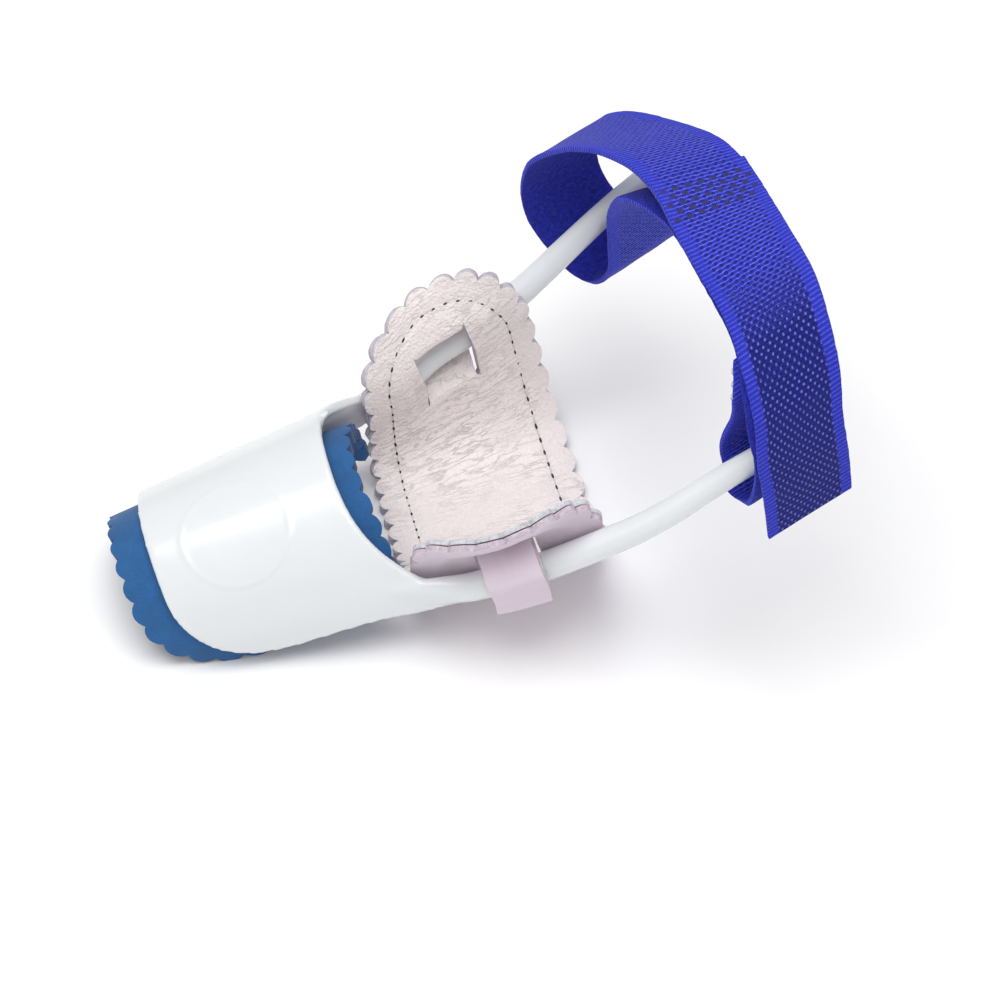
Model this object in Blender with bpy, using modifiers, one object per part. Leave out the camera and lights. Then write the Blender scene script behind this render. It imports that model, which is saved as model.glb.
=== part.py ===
"""Bunion corrector: a white moulded frame with an arched toe shell and two rods, a blue foam lining,
a leather pad that hangs between the rods, and a hook and loop strap.

The frame is drawn with +X from the toe to the heel, +Y to the rod on the instep, and +Z to the crown of
the shell. The rest pose then tips it toe down, on the lining's front corners and the flattened pad.
Run with: blender --background --python part.py
"""
import math

import bmesh
import bpy
from mathutils import Matrix, Vector

# Toe shell
shell_wall = 0.0022
toe_half_width = 0.0235
toe_height = 0.0255
arm_half_width = 0.0272
arm_height = 0.0262
arm_flare = 0.0040
notch_x = 0.0430
arm_end_x = 0.0620
arm_top_share = 0.89
arm_foot_run = 0.0120
arm_foot_share = 0.95
notch_run = 0.0150
notch_power = 3.2
front_corner = 0.0200
flare_start_x = 0.0380

# Rods, one on each side of the foot
rod_radius = 0.0032
rod_end_radius = 0.00249
rod_end_x = 0.1375
rod_end_spread = 0.0435
rod_end_rise = 0.0292
arm_rise = 0.0050
arm_root_x = 0.0340
knob_radius = 0.0034

# Foam lining
foam_thickness = 0.0032
foam_gap = 0.0003
foam_front_margin = 0.0068
foam_rear_margin = 0.0040
foam_rear_limit_x = 0.0478
foam_rear_drop = 0.0028
foam_foot_margin = 0.0012
foam_scallop_pitch = 0.0062
foam_scallop_height = 0.0013

# Bunion pad
pad_front_x = 0.0528
pad_rear_x = 0.0922
pad_swing = 0.0038
pad_spread = 0.04
pad_lobe_length = 0.0188
pad_lobe_squareness = 2.3
pad_shoulder_drop = 0.0020
pad_lobe_lean = math.radians(36)
pad_lobe_bend = 0.0060
pad_scallop_pitch = 0.0061
pad_scallop_height = 0.0017
face_thickness = 0.0010
backing_thickness = 0.0013
layer_gap = 0.0003
bridge_width = 0.0118
slit_width = 0.0008
slit_half_length = 0.0080
rod_seat_gap = 0.0003

# Strap
strap_width = 0.0205
loop_tape_thickness = 0.0013
hook_tape_thickness = 0.0015
strap_overhang = 0.0375
strap_run = 0.0325
strap_side_room = 0.0090
strap_top = 0.0620
strap_slope = math.radians(18)
strap_ease = math.radians(26)
strap_ease_middle = 0.0150
strap_ease_half_width = 0.0105
strap_ease_run = 0.0340
strap_ease_low = 0.0080
strap_ease_rise = 0.0460

# Rest pose and mesh fineness
rest_pitch = math.radians(16)
rest_shift = 0.0600
arch_step = math.radians(6)
scallop_steps = 4
row_step = 0.0042
foam_column_step = 0.0130
sliver_reach = 0.0005


def clamp(value, low, high):
    return max(low, min(high, value))


def smooth(share):
    share = clamp(share, 0.0, 1.0)
    return share * share * (3 - 2 * share)


def curve_point(points, share):
    """The point at a share of the way along a smooth curve through the points."""
    spans = len(points) - 1
    place = clamp(share, 0.0, 1.0) * spans
    index = min(int(place), spans - 1)
    part = place - index
    before = points[max(index - 1, 0)]
    start = points[index]
    end = points[index + 1]
    after = points[min(index + 2, spans)]
    return 0.5 * (
        2 * start
        + part * (end - before)
        + part**2 * (2 * before - 5 * start + 4 * end - after)
        + part**3 * (3 * start - before - 3 * end + after)
    )


def table_at(rows, key):
    """The row values at a key, along a smooth curve through the table's rows."""
    keys = [row[0] for row in rows]
    index = 0
    while index < len(keys) - 2 and key > keys[index + 1]:
        index += 1
    part = clamp((key - keys[index]) / (keys[index + 1] - keys[index]), 0.0, 1.0)
    points = [Vector(row[1:]) for row in rows]
    return curve_point(points, (index + part) / (len(rows) - 1))


# Shell and arms

def arch_width(x, flared=True):
    width = toe_half_width + (arm_half_width - toe_half_width) * x / notch_x
    if flared and x > flare_start_x:
        width += arm_flare * ((x - flare_start_x) / (arm_end_x - flare_start_x)) ** 1.5
    return width


def arch_height(x):
    return toe_height + (arm_height - toe_height) * x / notch_x


def arch_length(x):
    """Half the way round the arch, from its crown to a foot."""
    return math.pi / 2 * (arch_width(x, False) + arch_height(x)) / 2


def arch_point(x, share, flared=True):
    """A point of the outer arch: share 0 is the crown, 1 the instep foot and -1 the sole foot."""
    side = math.copysign(1.0, share)
    angle = min(abs(share), 1.0) * math.pi / 2
    below = max(abs(share) - 1.0, 0.0) * arch_length(x)
    y = side * arch_width(x, flared) * math.sin(angle)
    return Vector((x, y, arch_height(x) * math.cos(angle) - below))


def corner_x(share, front_x, foot_share):
    """The front edge, which turns into the feet on the corner radius."""
    left = (foot_share - abs(share)) * arch_length(0.0)
    if left >= front_corner:
        return front_x
    drop = front_corner - max(left, 0.0)
    return front_x + front_corner - math.sqrt(front_corner**2 - drop**2)


def notch_edge_x(share):
    """The rear edge of the shell: a U notch whose sides run out into the arms."""
    return notch_x + notch_run * min(abs(share) / arm_top_share, 1.0) ** notch_power


def shell_outline():
    steps = round(math.pi / arch_step)
    shares = [-1 + 2 * index / steps for index in range(steps + 1)]
    front = [Vector((corner_x(share, 0.0, 1.0), share)) for share in shares]
    rear_shares = [share * arm_top_share for share in reversed(shares)]
    rear = [Vector((notch_edge_x(share), share)) for share in rear_shares]
    instep_foot = [Vector((arm_end_x - arm_foot_run, 1.0)), Vector((arm_end_x, arm_foot_share))]
    instep_foot.append(Vector((arm_end_x, (arm_top_share + arm_foot_share) / 2)))
    sole_foot = [Vector((point.x, -point.y)) for point in reversed(instep_foot)]
    return front + instep_foot + rear + sole_foot


def lining_outline():
    """The lining's plain outline, in x and share, before its scallops."""
    foot = 1.0 + foam_foot_margin / arch_length(0.0)
    steps = round(math.pi / arch_step)
    shares = [foot * (-1 + 2 * index / steps) for index in range(steps + 1)]
    front = [Vector((corner_x(share, -foam_front_margin, foot), share)) for share in shares]
    rear = []
    for share in reversed(shares):
        x = min(notch_edge_x(share) + foam_rear_margin, foam_rear_limit_x)
        rear.append(Vector((x, share)))
    return front + rear


# Outlines with scallops

def walk(points, closed=True):
    """Running lengths at the corners of a path, and the whole length."""
    ends = points[1:] + (points[:1] if closed else [])
    lengths = [0.0]
    for start, end in zip(points, ends):
        lengths.append(lengths[-1] + (end - start).length)
    return lengths


def scalloped(points, pitch, height):
    """A closed outline, drawn the positive way round, with whole scallops standing out of it."""
    lengths = walk(points)
    total = lengths[-1]
    count = round(total / pitch)
    chord = total / count
    radius = (chord**2 / 4 + height**2) / (2 * height)
    loop = points + points[:1]
    outline = []
    index = 0
    for step in range(count * scallop_steps):
        place = total * step / (count * scallop_steps)
        while lengths[index + 1] < place:
            index += 1
        start = loop[index]
        end = loop[index + 1]
        along = (end - start).normalized()
        across = (step % scallop_steps) / scallop_steps * chord - chord / 2
        bulge = math.sqrt(max(radius**2 - across**2, 0.0)) - (radius - height)
        out = Vector((along.y, -along.x))
        outline.append(start + along * (place - lengths[index]) + out * bulge)
    return outline


# Sheets bent from a flat outline

def snapped(value, places, reach):
    """The value, moved onto a place that lies within reach, so that no sliver is left at a bend."""
    nearest = min(places, key=lambda place: abs(place - value))
    return nearest if abs(nearest - value) < reach else value


def flat_sheet(outline, row_places, column_places, reach, slits=()):
    """A flat sheet cut to an outline, split at rows and columns so that it can bend."""
    sheet = bmesh.new()
    corners = []
    for point in outline:
        x = snapped(point.x, column_places, sliver_reach)
        corners.append(sheet.verts.new((x, snapped(point.y, row_places, reach), 0)))
    sheet.faces.new(corners)
    cuts = [((0, place, 0), (0, 1, 0)) for place in row_places]
    cuts += [((place, 0, 0), (1, 0, 0)) for place in column_places]
    for place, normal in cuts:
        geometry = sheet.verts[:] + sheet.edges[:] + sheet.faces[:]
        bmesh.ops.bisect_plane(sheet, geom=geometry, dist=1e-6, plane_co=place, plane_no=normal)
    holes = []
    for face in sheet.faces:
        middle = face.calc_center_median()
        for low, high in slits:
            if low.x < middle.x < high.x and low.y < middle.y < high.y:
                holes.append(face)
    bmesh.ops.delete(sheet, geom=holes, context="FACES")
    bmesh.ops.triangulate(sheet, faces=sheet.faces[:])
    return sheet


def bent_place(x, way, rows, place_at):
    """A point of a sheet that is bent at its rows: each strip between two rows stays flat."""
    index = 0
    while index < len(rows) - 2 and way > rows[index + 1]:
        index += 1
    low, high = rows[index], rows[index + 1]
    return place_at(x, low).lerp(place_at(x, high), (way - low) / (high - low))


def bend(sheet, rows, place_at):
    for vert in sheet.verts:
        vert.co = bent_place(vert.co.x, vert.co.y, rows, place_at)


def places_between(low, high, step):
    count = max(round((high - low) / step), 1)
    return [low + (high - low) * index / count for index in range(1, count)]


def object_from(sheet, name, collection):
    mesh = bpy.data.meshes.new(name)
    sheet.to_mesh(mesh)
    sheet.free()
    made = bpy.data.objects.new(name, mesh)
    collection.objects.link(made)
    return made


def add_wall(made, thickness, near_side):
    """A wall between near_side and near_side + thickness, measured along the normals."""
    wall = made.modifiers.new("wall", "SOLIDIFY")
    wall.thickness = thickness
    wall.offset = 1 + 2 * near_side / thickness
    wall.use_quality_normals = True


def make_shell(collection):
    outline = shell_outline()
    rows = [-1 + 2 * index / 30 for index in range(31)]
    reach = sliver_reach / arch_length(0.0)
    sheet = flat_sheet(outline, rows[1:-1], places_between(0.0, arm_end_x, 0.008), reach)
    bend(sheet, rows, arch_point)
    bmesh.ops.recalc_face_normals(sheet, faces=sheet.faces[:])
    face_up(sheet)
    shell = object_from(sheet, "toe_shell", collection)
    add_wall(shell, shell_wall, -shell_wall)
    return shell


def face_up(sheet):
    """Turn the sheet over if its crown faces down."""
    top = max(sheet.faces, key=lambda face: face.calc_center_median().z)
    if top.normal.z < 0:
        bmesh.ops.reverse_faces(sheet, faces=sheet.faces[:])


def flat_lining():
    length = arch_length(0.0)
    metric = [Vector((point.x, point.y * length)) for point in reversed(lining_outline())]
    return scalloped(metric, foam_scallop_pitch, foam_scallop_height)


def lining_point(x, way):
    """A flat lining point on the shell's outer arch, which the lining sinks away from at the rear."""
    place = arch_point(x, way / arch_length(0.0), False)
    shrink = 1 - foam_rear_drop / arm_half_width * max(x / foam_rear_limit_x, 0.0) ** 2
    return Vector((x, place.y * shrink, place.z * shrink))


def lining_rows():
    return [arch_length(0.0) * (-1 + 2 * index / 26) for index in range(-1, 28)]


def lining_columns():
    return places_between(0.0, foam_rear_limit_x, foam_column_step)


def make_lining(collection):
    rows = lining_rows()
    sheet = flat_sheet(flat_lining(), rows[1:-1], lining_columns(), sliver_reach)
    bend(sheet, rows, lining_point)
    bmesh.ops.recalc_face_normals(sheet, faces=sheet.faces[:])
    face_up(sheet)
    lining = object_from(sheet, "toe_foam_lining", collection)
    add_wall(lining, foam_thickness, -shell_wall - foam_gap - foam_thickness)
    return lining


def rest_level(lining):
    """How low the finished lining's lowest point lies once the frame is tipped."""
    bpy.context.view_layer.update()
    solid = lining.evaluated_get(bpy.context.evaluated_depsgraph_get())
    places = [vertex.co for vertex in solid.data.vertices]
    return min(place.x * math.sin(rest_pitch) + place.z * math.cos(rest_pitch) for place in places)


# Rods

# Columns: share of the way from the shell's arm to the rod's end, share of the end's spread beyond the
# arm's, share of the end's rise above the arm's.
rod_rows = (
    (0.0, 0.000, -0.000),
    (0.1, 0.197, 0.058),
    (0.2, 0.298, 0.100),
    (0.3, 0.400, 0.159),
    (0.4, 0.513, 0.239),
    (0.5, 0.648, 0.343),
    (0.6, 0.753, 0.474),
    (0.7, 0.823, 0.621),
    (0.8, 0.885, 0.760),
    (0.9, 0.946, 0.882),
    (1.0, 1.000, 1.000),
)

# The arm's sections, which grow out of the shell's wall into the rod. Columns: share of the way from the
# root to the rod, half thickness and half height in shares of the rod's radius, squareness.
arm_rows = (
    (0.00, 0.16, 0.80, 2.4),
    (0.25, 0.24, 1.10, 2.4),
    (0.50, 0.40, 1.26, 2.4),
    (0.75, 0.72, 1.20, 2.2),
    (1.00, 1.00, 1.00, 2.0),
)


def rod_radius_at(x):
    share = clamp((x - pad_rear_x) / (rod_end_x - pad_rear_x), 0.0, 1.0)
    return rod_radius + (rod_end_radius - rod_radius) * share


def wall_slope():
    """How fast the arch's wall leans in above the arm's height."""
    share = arm_rise / arm_height
    return share / math.sqrt(1 - share**2)


def arm_centre_y(x):
    """The middle of the shell's wall at the arm's height."""
    return arch_width(x) * math.sqrt(1 - (arm_rise / arch_height(x)) ** 2) - shell_wall / 2


def arm_rod_y():
    return arm_centre_y(arm_end_x)


def rod_centre(side, x):
    """The rod's centre line at x; side is 1 for the instep rod and -1 for the sole rod."""
    out, rise = table_at(rod_rows, (x - arm_end_x) / (rod_end_x - arm_end_x))
    y = arm_rod_y() + (rod_end_spread - arm_rod_y()) * out
    return Vector((x, side * y, arm_rise + (rod_end_rise - arm_rise) * rise))


def rod_direction(side, x):
    step = 0.002
    return (rod_centre(side, x + step) - rod_centre(side, x - step)).normalized()


def rod_section(side, x, turns):
    """A closed ring of points round the arm or the rod at x."""
    if x < arm_end_x:
        part = (x - arm_root_x) / (arm_end_x - arm_root_x)
        thick, tall, power = table_at(arm_rows, part)
        centre = Vector((x, side * arm_centre_y(x), arm_rise))
        half_y, half_z = thick * rod_radius, tall * rod_radius
        along = Vector((1, 0, 0))
        lean = -side * wall_slope() * (1 - smooth(part))
    else:
        centre = rod_centre(side, x)
        half_y = half_z = rod_radius_at(x)
        power = 2.0
        along = rod_direction(side, x)
        lean = 0.0
    across = along.cross(Vector((0, lean, 1))).normalized()
    up = across.cross(along)
    ring = []
    for index in range(turns):
        angle = math.tau * index / turns
        cos, sin = math.cos(angle), math.sin(angle)
        wide = math.copysign(abs(cos) ** (2 / power), cos)
        high = math.copysign(abs(sin) ** (2 / power), sin)
        ring.append(centre + across * half_y * wide + up * half_z * high)
    return ring


def make_rod(side, collection):
    """The arm and the tapered rod as one loft."""
    solid = bmesh.new()
    rings = []
    arm_steps, rod_steps, turns = 8, 22, 14
    places = [arm_root_x + (arm_end_x - arm_root_x) * index / arm_steps for index in range(arm_steps)]
    places += [arm_end_x + (rod_end_x - arm_end_x) * index / rod_steps for index in range(rod_steps + 1)]
    for x in places:
        rings.append([solid.verts.new(point) for point in rod_section(side, x, turns)])
    for ring, next_ring in zip(rings, rings[1:]):
        for index in range(turns):
            after = (index + 1) % turns
            solid.faces.new((ring[index], ring[after], next_ring[after], next_ring[index]))
    solid.faces.new(list(reversed(rings[0])))
    solid.faces.new(rings[-1])
    bmesh.ops.recalc_face_normals(solid, faces=solid.faces[:])
    return object_from(solid, "rod", collection)


def make_knob(side, collection):
    solid = bmesh.new()
    bmesh.ops.create_uvsphere(solid, u_segments=12, v_segments=8, radius=knob_radius)
    centre = rod_centre(side, rod_end_x)
    turn = rod_direction(side, rod_end_x - 0.002).to_track_quat("Z", "Y").to_matrix().to_4x4()
    bmesh.ops.transform(solid, matrix=Matrix.Translation(centre) @ turn, verts=solid.verts[:])
    return object_from(solid, "knob", collection)


def join(main, others):
    for other in others:
        union = main.modifiers.new("join", "BOOLEAN")
        union.operation = "UNION"
        union.object = other
        other.hide_render = True
        other.display_type = "WIRE"


# Pad

# The pad's section from the sole rod to the instep rod. Columns: share of the half gap between the rods
# towards the instep, share of the height from the ground to the rod.
pad_rows = (
    (-1.00, 1.00),
    (-0.97, 0.84),
    (-0.84, 0.56),
    (-0.52, 0.32),
    (-0.26, 0.08),
    (0.02, 0.00),
    (0.34, 0.00),
    (0.66, 0.03),
    (0.88, 0.19),
    (0.98, 0.46),
    (1.01, 0.74),
    (1.00, 1.00),
)
pad_turns = 66


def ground_z(level, x):
    """The ground's height under the tipped frame, at x of the frame."""
    return (level - x * math.sin(rest_pitch)) / math.cos(rest_pitch)


def pad_middle_x():
    return (pad_front_x + pad_rear_x) / 2


def inner_face_y(x):
    """How far the space between the arms or rods reaches at x."""
    face = rod_centre(1, x).y - rod_radius
    if x < arm_end_x:
        high = 2.2 * arm_rise / arch_height(x)
        face = min(face, arch_width(x) * math.sqrt(1 - high**2) - shell_wall)
    return face


def pad_path(x, level):
    """The pad's middle surface at x, as points from the sole rod to the instep rod."""
    rod = rod_centre(1, x)
    waist = inner_face_y(x) - rod_seat_gap - backing_thickness - layer_gap / 2
    swing = pad_swing - pad_spread * (x - pad_middle_x())
    ground = ground_z(level, x - swing) + (backing_thickness + layer_gap / 2) / math.cos(rest_pitch)
    rows = [Vector(row) for row in pad_rows]
    points = []
    for index in range(pad_turns + 1):
        out, up = curve_point(rows, index / pad_turns)
        up = max(up, 0.0)
        points.append(Vector((x - swing * (1 - up), waist * out, ground + (rod.z - ground) * up)))
    return points


def path_point(points, share):
    """The point at a share of a path's length."""
    lengths = walk(points, False)
    target = clamp(share, 0.0, 1.0) * lengths[-1]
    index = 0
    while index < len(points) - 2 and lengths[index + 1] < target:
        index += 1
    part = (target - lengths[index]) / (lengths[index + 1] - lengths[index])
    return points[index].lerp(points[index + 1], clamp(part, 0.0, 1.0))


def pad_half_length(level):
    """Half the way from rod to rod, at the middle of the pad's width."""
    return walk(pad_path(pad_middle_x(), level), False)[-1] / 2


def pad_outline(half_length):
    """The plain outline of the flat pad: straight sides and two rounded lobes."""
    half_width = (pad_rear_x - pad_front_x) / 2
    shoulder = half_length - pad_shoulder_drop
    lobe = pad_lobe_length + pad_shoulder_drop
    turns = 24
    points = []
    for side in (1, -1):
        for index in range(turns + 1):
            angle = math.pi * index / turns
            wide = math.copysign(abs(math.cos(angle)) ** (2 / pad_lobe_squareness), math.cos(angle))
            high = abs(math.sin(angle)) ** (2 / pad_lobe_squareness)
            points.append(Vector((side * half_width * wide, side * (shoulder + lobe * high))))
    return points


def bridge_lift(across, way):
    """How far the strip between two slits bulges out round the rod, as a share."""
    if abs(across) > (bridge_width + slit_width) / 2:
        return 0.0
    return smooth(2.4 * (slit_half_length - abs(way)) / slit_half_length)


def pad_point(across, way, half_length, level):
    """A flat pad point moved to its place: way runs from the pad's middle towards the instep rod."""
    x = pad_middle_x() + across
    side = 1 if way >= 0 else -1
    place = path_point(pad_path(x, level), (1 + way / half_length) / 2)
    past_rod = abs(way) - half_length
    if past_rod > 0:
        share = 2 * across / (pad_rear_x - pad_front_x)
        lean = pad_lobe_lean * (1 - 0.6 * min(share**2, 1.0))
        bent = max(past_rod - rod_radius, 0.0)
        if bent < pad_lobe_bend:
            turned = bent**2 / (2 * pad_lobe_bend)
        else:
            turned = bent - pad_lobe_bend / 2
        place.y += side * math.sin(lean) * turned
        place.z += past_rod - (1 - math.cos(lean)) * turned
    outer = rod_centre(1, x).y + rod_radius + 2 * rod_seat_gap + face_thickness + layer_gap / 2
    inner = inner_face_y(x) - rod_seat_gap - backing_thickness - layer_gap / 2
    bulge = outer - inner
    place.y += side * bulge * bridge_lift(across, past_rod)
    return place


def make_pad_sheet(level):
    half_length = pad_half_length(level)
    outline = scalloped(pad_outline(half_length), pad_scallop_pitch, pad_scallop_height)
    half_slit = bridge_width / 2
    half_width = (pad_rear_x - pad_front_x) / 2
    columns = [-half_slit - slit_width, -half_slit, half_slit, half_slit + slit_width]
    columns += [-0.66 * half_width, 0.0, 0.66 * half_width]
    rows = []
    slits = []
    for side in (-1, 1):
        low = side * half_length - slit_half_length
        high = side * half_length + slit_half_length
        rows += [low, high] + places_between(low, high, slit_half_length / 4)
        for start in (-half_slit - slit_width, half_slit):
            slits.append((Vector((start, low)), Vector((start + slit_width, high))))
    rows += places_between(-half_length + slit_half_length, half_length - slit_half_length, row_step)
    lobe_end = half_length + pad_lobe_length + 2 * pad_scallop_height
    for side in (-1, 1):
        rows += [side * lobe_end, side * (half_length + (slit_half_length + pad_lobe_length) / 2)]
    rows.sort()
    sheet = flat_sheet(outline, rows, columns, sliver_reach, slits)
    bend(sheet, rows, lambda across, way: pad_point(across, way, half_length, level))
    bmesh.ops.recalc_face_normals(sheet, faces=sheet.faces[:])
    low_face = min(sheet.faces, key=lambda face: face.calc_center_median().z)
    if low_face.normal.z < 0:
        bmesh.ops.reverse_faces(sheet, faces=sheet.faces[:])
    return sheet


def make_pad(level, collection):
    """The leather face on the foot's side and the backing outside it, bent from one flat sheet."""
    face = object_from(make_pad_sheet(level), "pad_face", collection)
    add_wall(face, face_thickness, layer_gap / 2)
    backing = object_from(make_pad_sheet(level), "pad_backing", collection)
    add_wall(backing, backing_thickness, -layer_gap / 2 - backing_thickness)
    return face, backing


# Strap

# The front edges of both tapes. Columns: share of the run to the heel, share of the half span towards the
# instep, share of the top's height. The loop tape starts at its sewn end, goes round the sole rod, up, over
# and round the instep rod, and back on top of itself.
loop_tape_rows = (
    (0.932, -0.648, 0.758),
    (0.887, -0.701, 0.715),
    (0.838, -0.735, 0.661),
    (0.802, -0.714, 0.561),
    (0.708, -0.686, 0.452),
    (0.662, -0.670, 0.371),
    (0.646, -0.686, 0.290),
    (0.615, -0.743, 0.239),
    (0.677, -0.819, 0.231),
    (0.708, -0.876, 0.274),
    (0.754, -0.914, 0.355),
    (0.800, -0.926, 0.444),
    (0.830, -0.914, 0.516),
    (0.846, -0.886, 0.603),
    (0.882, -0.838, 0.682),
    (0.912, -0.781, 0.744),
    (0.950, -0.705, 0.797),
    (0.963, -0.610, 0.839),
    (0.944, -0.476, 0.873),
    (0.912, -0.305, 0.894),
    (0.885, -0.133, 0.898),
    (0.844, 0.019, 0.878),
    (0.751, 0.171, 0.855),
    (0.646, 0.324, 0.790),
    (0.585, 0.438, 0.677),
    (0.523, 0.543, 0.524),
    (0.462, 0.619, 0.315),
    (0.400, 0.676, 0.145),
    (0.277, 0.781, 0.029),
    (0.154, 0.876, 0.042),
    (0.062, 0.962, 0.145),
    (0.015, 1.000, 0.274),
    (0.046, 1.000, 0.419),
    (0.154, 0.933, 0.581),
    (0.308, 0.810, 0.702),
    (0.462, 0.657, 0.811),
    (0.615, 0.486, 0.895),
    (0.769, 0.276, 0.952),
    (0.849, 0.076, 0.968),
    (0.873, -0.095, 0.954),
)
# The hook tape starts on top of the loop tape's end and hangs down outside the sole rod.
hook_tape_rows = (
    (0.843, 0.105, 1.000),
    (0.866, -0.038, 0.992),
    (0.885, -0.190, 0.967),
    (0.924, -0.381, 0.929),
    (0.963, -0.533, 0.895),
    (0.969, -0.651, 0.874),
    (0.956, -0.747, 0.832),
    (0.936, -0.834, 0.764),
    (0.901, -0.909, 0.663),
    (0.840, -0.956, 0.532),
    (0.809, -0.981, 0.410),
    (0.781, -0.990, 0.298),
    (0.748, -1.000, 0.198),
)


def strap_edge(rows, steps):
    points = []
    for run, span, top in rows:
        x = rod_end_x - strap_overhang + strap_run * run
        y = (rod_end_spread + strap_side_room) * span
        points.append(Vector((x, y, strap_top * top)))
    return [curve_point(points, index / steps) for index in range(steps + 1)]


def strap_across(place):
    """The way from a tape's front edge to its rear edge, which leans less where the strap crosses over the foot."""
    aside = smooth((abs(place.y - strap_ease_middle) - strap_ease_half_width) / strap_ease_run)
    high = smooth((place.z - strap_ease_low) / strap_ease_rise)
    slope = strap_slope - strap_ease * (1 - aside) * high
    return Vector((math.cos(slope), 0, math.sin(slope))) * strap_width


def make_tape(rows, steps, thickness, name, collection):
    sheet = bmesh.new()
    ends = []
    for place in strap_edge(rows, steps):
        ends.append((sheet.verts.new(place), sheet.verts.new(place + strap_across(place))))
    for (front, rear), (next_front, next_rear) in zip(ends, ends[1:]):
        sheet.faces.new((front, rear, next_rear, next_front))
    made = object_from(sheet, name, collection)
    add_wall(made, thickness, -thickness / 2)
    return made


def make_strap(collection):
    loop_tape = make_tape(loop_tape_rows, 120, loop_tape_thickness, "strap_loop_tape", collection)
    hook_tape = make_tape(hook_tape_rows, 48, hook_tape_thickness, "strap_hook_tape", collection)
    return [loop_tape, hook_tape]


# Materials and the whole part

def material(name, colour, roughness):
    made = bpy.data.materials.new(name)
    made.use_nodes = True
    shader = made.node_tree.nodes["Principled BSDF"]
    shader.inputs["Base Color"].default_value = (*colour, 1)
    shader.inputs["Roughness"].default_value = roughness
    shader.inputs["Metallic"].default_value = 0.0
    return made


def main():
    for old in list(bpy.data.objects):
        bpy.data.objects.remove(old)
    parts = bpy.data.collections.new("bunion_corrector")
    cutters = bpy.data.collections.new("joined_shapes")
    for collection in (parts, cutters):
        bpy.context.scene.collection.children.link(collection)
    rest_pose = bpy.data.objects.new("rest_pose", None)
    parts.objects.link(rest_pose)

    shell = make_shell(parts)
    shell.name = "splint_frame"
    joined = [make_rod(side, cutters) for side in (1, -1)]
    joined += [make_knob(side, cutters) for side in (1, -1)]
    join(shell, joined)
    lining = make_lining(parts)
    level = rest_level(lining)
    face, backing = make_pad(level, parts)
    tapes = make_strap(parts)
    pieces = {
        shell: ("white_plastic", (0.85, 0.88, 0.90), 0.25),
        lining: ("blue_foam", (0.02, 0.10, 0.32), 0.9),
        face: ("beige_leather", (0.66, 0.58, 0.56), 0.6),
        backing: ("pink_backing", (0.72, 0.62, 0.70), 0.8),
    }
    for tape in tapes:
        pieces[tape] = ("blue_tape", (0.03, 0.04, 0.35), 0.9)
    for made, (name, colour, roughness) in pieces.items():
        made.data.materials.clear()
        made.data.materials.append(material(name, colour, roughness))
    for made in list(pieces) + joined:
        made.parent = rest_pose
    rest_pose.rotation_euler = (0, -rest_pitch, 0)
    rest_pose.location = (-rest_shift, 0, -level)


if __name__ == "__main__":
    main()
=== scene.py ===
"""Bunion corrector: the looks of a toe splint with a white moulded frame, a blue foam lining, a hanging
leather pad and a blue hook and loop strap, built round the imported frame.

Sizes are in metres. Shapes are drawn in the splint's own frame, +X from the toe to the heel, +Y to the rod
on the instep and +Z to the crown of the shell, and are then tipped into the pose in which it rests.
"""
import math
from functools import lru_cache

import bmesh
import bpy
from mathutils import Matrix, Vector, noise


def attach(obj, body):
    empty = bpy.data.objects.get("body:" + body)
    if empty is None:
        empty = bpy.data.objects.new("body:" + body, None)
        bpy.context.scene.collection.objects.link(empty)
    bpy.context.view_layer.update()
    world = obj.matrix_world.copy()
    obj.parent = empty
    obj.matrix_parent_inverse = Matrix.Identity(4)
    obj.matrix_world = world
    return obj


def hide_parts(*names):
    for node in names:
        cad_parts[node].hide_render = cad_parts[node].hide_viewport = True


bl_info = {
    "name": "Bunion Corrector",
    "version": (1, 0, 0),
    "blender": (4, 5, 0),
    "location": "View3D > Sidebar > Splint",
    "description": "Dresses a bunion corrector splint in plastic, foam, leather and woven tape",
    "category": "Add Mesh",
}

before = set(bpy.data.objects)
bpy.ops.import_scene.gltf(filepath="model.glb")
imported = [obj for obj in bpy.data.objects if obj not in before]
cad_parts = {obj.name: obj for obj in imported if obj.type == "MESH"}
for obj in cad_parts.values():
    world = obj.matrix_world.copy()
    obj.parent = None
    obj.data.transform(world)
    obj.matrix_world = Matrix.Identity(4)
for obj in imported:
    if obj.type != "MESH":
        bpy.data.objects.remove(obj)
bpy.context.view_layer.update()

# Toe shell
shell_wall = 0.0022
toe_half_width = 0.0235
toe_height = 0.0255
arm_half_width = 0.0272
arm_height = 0.0262
arm_flare = 0.0040
notch_x = 0.0430
arm_end_x = 0.0620
arm_top_share = 0.89
arm_foot_run = 0.0120
arm_foot_share = 0.95
notch_run = 0.0150
notch_power = 3.2
front_corner = 0.0200
flare_start_x = 0.0380

# Rods, one on each side of the foot
rod_radius = 0.0032
rod_end_radius = 0.00249
rod_end_x = 0.1375
rod_end_spread = 0.0435
rod_end_rise = 0.0292
arm_rise = 0.0050
arm_root_x = 0.0340
knob_radius = 0.0034

# Foam lining
foam_thickness = 0.0032
foam_gap = 0.0003
foam_front_margin = 0.0068
foam_rear_margin = 0.0040
foam_rear_limit_x = 0.0478
foam_rear_drop = 0.0028
foam_foot_margin = 0.0012
foam_scallop_pitch = 0.0062
foam_scallop_height = 0.0013

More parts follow.
